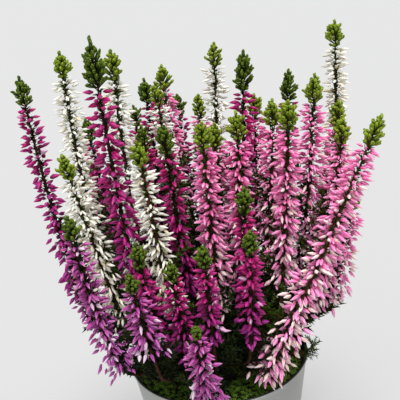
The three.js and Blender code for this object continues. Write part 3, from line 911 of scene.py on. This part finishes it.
# Green of the leaves, with a painted highlight on the points that stand out and towards
# the tips of the shoots, darker with age, and painted shade at the shoots' feet; and the
# brown of the bark.
foliage_group, nodes, asked = new_group(
    "foliage",
    {"Leaf": "Color", "Lit Leaf Tip": "Color", "Old And Shaded Leaf": "Color", "Bark": "Color"},
    {"Color": "Color", "Roughness": "Float", "Height": "Float"},
)


def ridge_of(nodes):
    """The attribute ridge: 1 on what stands out of a mould, 0 in its grooves."""
    return nodes.add("ShaderNodeAttribute", {}, attribute_name="ridge")["Fac"]


along, age, luck, wood = growth_of(nodes)
mottle = nodes.mottle(300.0)
# painted highlight: the points of the leaves that stand out, more of it towards the shoot's tip
lit = nodes.sum("MULTIPLY", ridge_of(nodes), nodes.spread(along, 0, 1, 0.25, 0.9))
lit = nodes.sum("ADD", lit, nodes.spread(luck, 0, 1, -0.15, 0.15), clamp=True)
leaf = nodes.blend(lit, asked["Leaf"], asked["Lit Leaf Tip"])
leaf = nodes.blend(nodes.sum("MULTIPLY", age, 0.75), leaf, asked["Old And Shaded Leaf"])
patchy = nodes.sum("MULTIPLY", mottle["Patches"], 0.35)
# painted shade: the leaves darker towards the foot of each shoot
shaded = nodes.spread(along, 0.75, 0.3, 0, 0.75)
leaf = nodes.blend(nodes.sum("MAXIMUM", patchy, shaded), leaf, asked["Old And Shaded Leaf"])
bark = nodes.blend(mottle["Patches"], asked["Bark"], "2b1a12")
nodes.add("NodeGroupOutput", {
    "Color": nodes.blend(wood, leaf, bark),
    "Roughness": nodes.spread(wood, 0, 1, 0.5, 0.85),
    "Height": mottle["Grain"],
})

# kind: leaf, lit leaf tip (painted highlight), old and shaded leaf (age and painted shade), bark
FOLIAGE_COLOURS = {
    "dark": ("263a0c", "7c962e", "141c06", "50301f"),
    "light": ("48620e", "acc03c", "222c0a", "5e3c26"),
}
foliage = {}
for kind, (leaf, lit_leaf_tip, old_and_shaded_leaf, bark) in FOLIAGE_COLOURS.items():
    foliage[kind], nodes = new_material(f"{kind}_foliage", leaf, 0.5, Specular_IOR_Level=0.12)
    skin = nodes.add("ShaderNodeGroup", {
        "Leaf": leaf, "Lit Leaf Tip": lit_leaf_tip, "Old And Shaded Leaf": old_and_shaded_leaf, "Bark": bark,
    }, node_tree=foliage_group)
    nodes.finish(skin["Color"], skin["Height"], 0.3, 0.0001, skin["Roughness"])


def woody_stem(stem):
    """The stem from the trunk to inside its tuft, thinner in bloom and at the tip."""
    steps = max(10, round(stem.length / 0.005))
    distances = np.linspace(0, stem.length - TUFT_END * stem.leafy, steps)
    thick = np.clip(distances / max(stem.bloom_from, 0.01), 0, 1)
    radii = mix(STEM_RADIUS, STEM_RADIUS_IN_BLOOM, thick)
    return tube("stem", stem.at(distances)[0],
                radii * np.clip((stem.length - distances) / 0.05, 0.45, 1))


def foliage_on(stem):
    """All that grows on a stem but its buds."""
    if stem.flowers:
        grown = [tuft(stem, "tuft")]
        low_end = stem.bloom_from + 0.004
    else:
        grown = [twigs(stem, "leafy_end", stem.leafy_from, stem.length, END_TWIG_STEP,
                       inward=0.0, lengths=END_TWIG_LENGTHS, ages=0.3)]
        low_end = stem.leafy_from
    longest = mix(*LOW_TWIG_LONGEST, min(1.0, stem.bloom_from / HIGH_BLOOM))
    grown.append(twigs(stem, "low_twigs", LOW_TWIGS_FROM, low_end, LOW_TWIG_STEP,
                       inward=0.55, lengths=(LOW_TWIG_SHORTEST, longest)))
    if stem.flowers:
        inner_end = mix(stem.bloom_from, stem.bloom_to, 0.3)
        if stem.points[-1][1] > INNER_FROM:
            inner_end = max(inner_end, min(stem.bloom_to, INNER_HEIGHT))
        grown.append(twigs(stem, "inner_twigs", 0.4 * stem.bloom_from, inner_end,
                           INNER_TWIG_STEP, inward=1.0, lengths=INNER_TWIG_LENGTHS))
        grown.append(bloom_leaves(stem, "bloom_leaves"))
        grown.append(side_stalks(stem, "side_stalks"))
    return grown


plants = []
for number, (leaves, rows) in enumerate(PLANTS, start=1):
    flowering = [row for row in rows if row[0] != "leaf"]
    trunk = [CROWN_FOOT * np.mean([row[1] + row[6] for row in flowering]),
             CROWN_FOOT * np.mean([row[2] + row[7] for row in flowering])]
    stems = [Stem(row, trunk) for row in rows]
    plants.append(stems)
    levels = np.linspace(SOIL_LEVEL - TRUNK_DEPTH, SOIL_LEVEL + TRUNK_TOP, TRUNK_STEPS)
    radii = [TRUNK_RADIUS * (0.96 if k < TRUNK_STEPS - 2 else 0.86) for k in range(TRUNK_STEPS)]
    pieces = [tube("trunk", [(*trunk, level) for level in levels], radii)]
    for stem in stems:
        pieces += [woody_stem(stem), *foliage_on(stem)]
    branch = join(pieces, f"heather_branch_{number:02}")
    branch.data.materials.clear()
    branch.data.materials.append(foliage[leaves])
    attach(branch, "root")
    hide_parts(f"leafy_spray_{number:02}")
for mould in (club_shoot, side_stalk, tiny_leaf, leafy_twig):
    bpy.data.objects.remove(mould)

# ------------------------------------------------------------------ the buds
# Closed buds that never open, each of four dry coloured sepals folded to a point, on a
# stalk too short to see. They stand in a spiral all round the stem, nearly level at the
# top of a spike and hanging at its foot.


def bud_mould(name, rings, fullest, point):
    """A bud of unit length and width: four sepals meet in a point, with grooves between."""
    mould = standing_ball(name, 8, rings)
    ridges = []
    for vertex in mould.data.vertices:
        along = vertex.co.z
        column = round(math.atan2(vertex.co.y, vertex.co.x) / (math.pi / 4))
        off_axis = math.hypot(vertex.co.x, vertex.co.y)
        ridges.append(1.0 if column % 2 == 0 or off_axis < ON_AXIS else 0.0)
        if off_axis > ON_AXIS:
            rise, fall = along / fullest, (1 - along) / (1 - fullest)
            wanted = math.sin(math.pi / 2 * min(rise, 1.0)) ** 0.75
            wanted *= min(fall, 1.0) ** point
            wanted *= 1.06 if column % 2 == 0 else 0.88
            vertex.co.x *= 0.5 * wanted / off_axis
            vertex.co.y *= 0.5 * wanted / off_axis
    set_ridges(mould, ridges)
    return mould


plump_bud = bud_mould("plump_bud", 5, 0.45, 0.8)
slim_bud = bud_mould("slim_bud", 4, 0.45, 0.75)

# kind: mould, length, width, step between buds, rise at the top and hang at the foot in
# degrees, how much shorter the topmost buds are, how far the lowest stray from the stem,
# and how much denser the foot of the spike is
BUD_KINDS = {
    "crimson": (plump_bud, 0.0065, 0.0031, 0.00063, 8, -38, 0.9, 0.0054, 1.15),
    "violet": (plump_bud, 0.0066, 0.0028, 0.00041, 5, -40, 0.8, 0.0084, 1.4),
    "pink": (slim_bud, 0.0072, 0.0027, 0.00035, 2, -42, 0.85, 0.0080, 1.15),
    "white": (slim_bud, 0.0070, 0.0023, 0.00038, 8, -50, 1.0, 0.0074, 1.2),
}
BUD_FOOT = 0.0010
BUD_SWING = 0.9
BUD_SWAY = (32, 18)  # degrees that buds tilt either way at the foot, and at the top
STRAYING_SPIKE = 0.08  # on longer spikes the buds stray farther
OUTERMOST = 0.1  # where the outer spikes, which bloom first, are the most faded
FADING = 0.5
SMALL_STEM = (0.012, 0.76)  # leafy tip, and size of the buds, of a weak stem
STRONG_STEM = (0.025, 1.0)  # and of the strongest
GOLDEN_TURN = math.radians(137.5)

# Colour of a bud's skin: young at the top of the spike and old at its foot, paler along
# the folded edges of the sepals and towards the point. The paler edges are partly the
# sepals' own colour and partly a painted highlight on their ridges; the darkening in the
# grooves is painted shade, and the darker foot of each bud is partly its own colour and
# partly painted shade.
bud_group, nodes, asked = new_group(
    "bud_skin",
    {"Young": "Color", "Old": "Color", "Point": "Color", "Foot And Shade": "Color", "Stray": "Color",
     "Paling And Highlight": "Float", "Strays": "Float"},
    {"Color": "Color", "Roughness": "Float", "Height": "Float"},
)
along, age, luck, _ = growth_of(nodes)
ridge = ridge_of(nodes)
mottle = nodes.mottle(220.0)
aged = nodes.sum("ADD", nodes.sum("POWER", age, 1.5), nodes.spread(luck, 0, 1, -0.2, 0.2),
                 clamp=True)
skin = nodes.blend(aged, asked["Young"], asked["Old"])
stray = nodes.sum("LESS_THAN", nodes.sum("FRACT", nodes.sum("MULTIPLY", luck, 7.31)),
                  nodes.sum("MULTIPLY", nodes.sum("POWER", age, 2.4), asked["Strays"]))
skin = nodes.blend(stray, skin, asked["Stray"])
# painted highlight along the ridges of the sepals, over their own paler edges
pale_lit_edge = nodes.spread(ridge, 0.3, 1, 0, 0.55)
pale_point = nodes.spread(along, 0.45, 1.0, 0, 1)
pale_and_lit = nodes.sum("MULTIPLY", nodes.sum("MAXIMUM", pale_lit_edge, pale_point), asked["Paling And Highlight"])
pale_and_lit = nodes.sum("MULTIPLY", pale_and_lit, nodes.spread(luck, 0, 1, 0.4, 1.2), clamp=True)
skin = nodes.blend(pale_and_lit, skin, asked["Point"])
# painted shade in the grooves between the sepals, darkest towards the bud's foot
groove_shade = nodes.sum("MULTIPLY", nodes.spread(ridge, 0.5, 0, 0, 0.45), nodes.spread(along, 1, 0.4))
skin = nodes.blend(groove_shade, skin, asked["Foot And Shade"])
# the foot of each bud darker, partly its own colour and partly painted shade
skin = nodes.blend(nodes.spread(along, 0.3, 0.02, 0, 0.85), skin, asked["Foot And Shade"])
skin = nodes.blend(nodes.spread(mottle["Patches"], 0, 1, 0, 0.22), skin, asked["Old"])
nodes.add("NodeGroupOutput", {
    "Color": skin, "Roughness": nodes.spread(luck, 0, 1, 0.32, 0.5), "Height": mottle["Grain"],
})

# kind: young, old, point and highlight, foot and shade, stray colours; how much it pales
# and shows the painted highlight, share of strays
BUD_COLOURS = {
    "crimson": ("b80460", "9a2284", "e66cb6", "38061f", "e4bcd8", 0.3, 0.08),
    "violet": ("b42488", "ae3c9e", "f0d0e8", "3e1838", "f0dcea", 0.48, 0.22),
    "pink": ("f44ea6", "f48ac6", "fff0f8", "9a2668", "f8e4d6", 0.7, 0.6),
    "white": ("fdfbf2", "f2ebda", "fffef8", "a8ae5c", "d8c8a0", 0.5, 0.15),
}
buds = {}
for kind, (young, old, point, foot, stray, paling_and_highlight, strays) in BUD_COLOURS.items():
    buds[kind], nodes = new_material(
        f"{kind}_buds", young, 0.5, Specular_IOR_Level=0.25, Subsurface_Weight=0.25,
        Subsurface_Radius=(1.0, 0.6, 0.7), Subsurface_Scale=0.0008,
    )
    skin = nodes.add("ShaderNodeGroup", {
        "Young": young, "Old": old, "Point": point, "Foot And Shade": foot, "Stray": stray,
        "Paling And Highlight": paling_and_highlight, "Strays": strays,
    }, node_tree=bud_group)
    nodes.finish(skin["Color"], skin["Height"], 0.2, 0.0001, skin["Roughness"])


def spike(stem, name):
    """All the buds of one stem."""
    mould, length, width, step, rise, hang, top_size, straying, crowd = BUD_KINDS[stem.kind]
    strength = (stem.leafy - SMALL_STEM[0]) / (STRONG_STEM[0] - SMALL_STEM[0])
    size = mix(SMALL_STEM[1], STRONG_STEM[1], min(1.0, max(0.0, strength)))
    count = round((stem.bloom_to - stem.bloom_from) / (step * size))
    share = ((np.arange(count) + 0.5) / count) ** crowd
    distances = mix(stem.bloom_from, stem.bloom_to, share) + even(count, -0.0004, 0.0004)
    middle, _, out, side = stem.at(distances)
    turns = np.arange(count) * GOLDEN_TURN + even(count, -0.7, 0.7)
    pointed = turns + even(count, -1, 1) * mix(BUD_SWING, 0.5 * BUD_SWING, share)
    tilts = mix(hang, rise, share) + even(count, -1, 1) * mix(*BUD_SWAY, share)
    tilts = np.radians(tilts)[:, None]
    directions = np.cos(tilts) * swept(pointed, out, side) + np.sin(tilts) * [[0.0, 0.0, 1.0]]
    grown_up = mix(1.0, top_size, np.clip((share - 0.8) / 0.2, 0, 1))
    grown_up *= size * mix(0.85, 1.0, np.clip(share / 0.1, 0, 1))
    lengths = length * grown_up * even(count, 0.78, 1.12)
    widths = width * grown_up * even(count, 0.8, 1.12)
    sizes = np.column_stack([widths, widths * even(count, 0.8, 1.0), lengths])
    stands = stand_along(directions, even(count, 0, 6), sizes)
    straying *= min(1.2, max(1.0, (stem.bloom_to - stem.bloom_from) / STRAYING_SPIKE))
    out_by = BUD_FOOT + straying * mix(0.35, 1.0, (1 - share) ** 1.5) * even(count, 0, 1) ** 1.6
    faded = FADING * min(1.0, math.hypot(*stem.points[-1][:2]) / OUTERMOST) ** 2
    ages = mix(1 - share, 1.0, faded)
    feet = middle + out_by[:, None] * swept(turns, out, side)
    return copies_of(mould, name, feet, stands, ages)


spikes = 0
for stems in plants:
    for stem in stems:
        if not stem.flowers:
            continue
        spikes += 1
        piece = spike(stem, f"{stem.kind}_spike_{spikes:02}")
        piece.data.materials.append(buds[stem.kind])
        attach(piece, "root")
        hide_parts(f"{stem.kind}_bloom_{spikes:02}")
for mould in (plump_bud, slim_bud):
    bpy.data.objects.remove(mould)

# ------------------------------------------------------------------ floor, light, camera
# A plain pale floor that glows a little, which is painted light that softens the shadows
# on it; soft light from above and a little to the right; and a camera that looks down on
# the plant at a small roll.
FLOOR_SIZE = 30.0
deselect_all()
bpy.ops.mesh.primitive_plane_add(size=FLOOR_SIZE)
floor = bpy.context.object
floor.name = "floor"
# the floor's glow is painted light: it lightens the shadows that fall on the floor
glowing_floor, _ = new_material(
    "glowing_floor", "868786", 0.9, Emission_Color=colour("ffffff"), Emission_Strength=0.4
)
floor.data.materials.append(glowing_floor)

world = bpy.data.worlds.new("studio")
bpy.context.scene.world = world
world.use_nodes = True
nodes = Nodes(world.node_tree)
sky = world.node_tree.nodes["Background"]
nodes.feed(sky.inputs["Color"], "f2f4f4")
nodes.feed(sky.inputs["Strength"], 0.34)
back_wall = nodes.add("ShaderNodeBackground", {"Color": "e8e9e7"})  # seen by the camera alone
by_camera = nodes.add("ShaderNodeLightPath", {})["Is Camera Ray"]
seen = nodes.add("ShaderNodeMixShader", {0: by_camera, 1: sky.outputs[0], 2: back_wall[0]})
nodes.feed(world.node_tree.nodes["World Output"].inputs["Surface"], seen[0])

for name, turn, height, width, strength in (
    ("light_above_right", 14, 74, 34, 3.65),
    ("light_front_left", -30, 40, 60, 0.7),
):
    deselect_all()
    bpy.ops.object.light_add(type="SUN", location=(0, 0, 1))
    lamp = bpy.context.object
    lamp.name = name
    lamp.data.energy = strength
    lamp.data.angle = math.radians(width)
    lamp.rotation_euler = (math.radians(90 - height), 0, math.radians(turn))

CAMERA_LENS = 65.25
CAMERA_DISTANCE = 0.39827
CAMERA_HEIGHT_ANGLE = math.radians(19.82)
CAMERA_ROLL = math.radians(6)
CAMERA_TARGET = Vector((-0.0018, 0, 0.18922))
bpy.ops.object.camera_add()
camera = bpy.context.object
camera.data.lens = CAMERA_LENS
camera.data.sensor_width = 36
forward = Vector((0, math.cos(CAMERA_HEIGHT_ANGLE), -math.sin(CAMERA_HEIGHT_ANGLE)))
camera.location = CAMERA_TARGET - CAMERA_DISTANCE * forward
camera.rotation_euler = (
    Quaternion(forward, CAMERA_ROLL) @ forward.to_track_quat("-Z", "Y")
).to_euler()
bpy.context.scene.camera = camera
bpy.context.scene.view_settings.view_transform = "Standard"
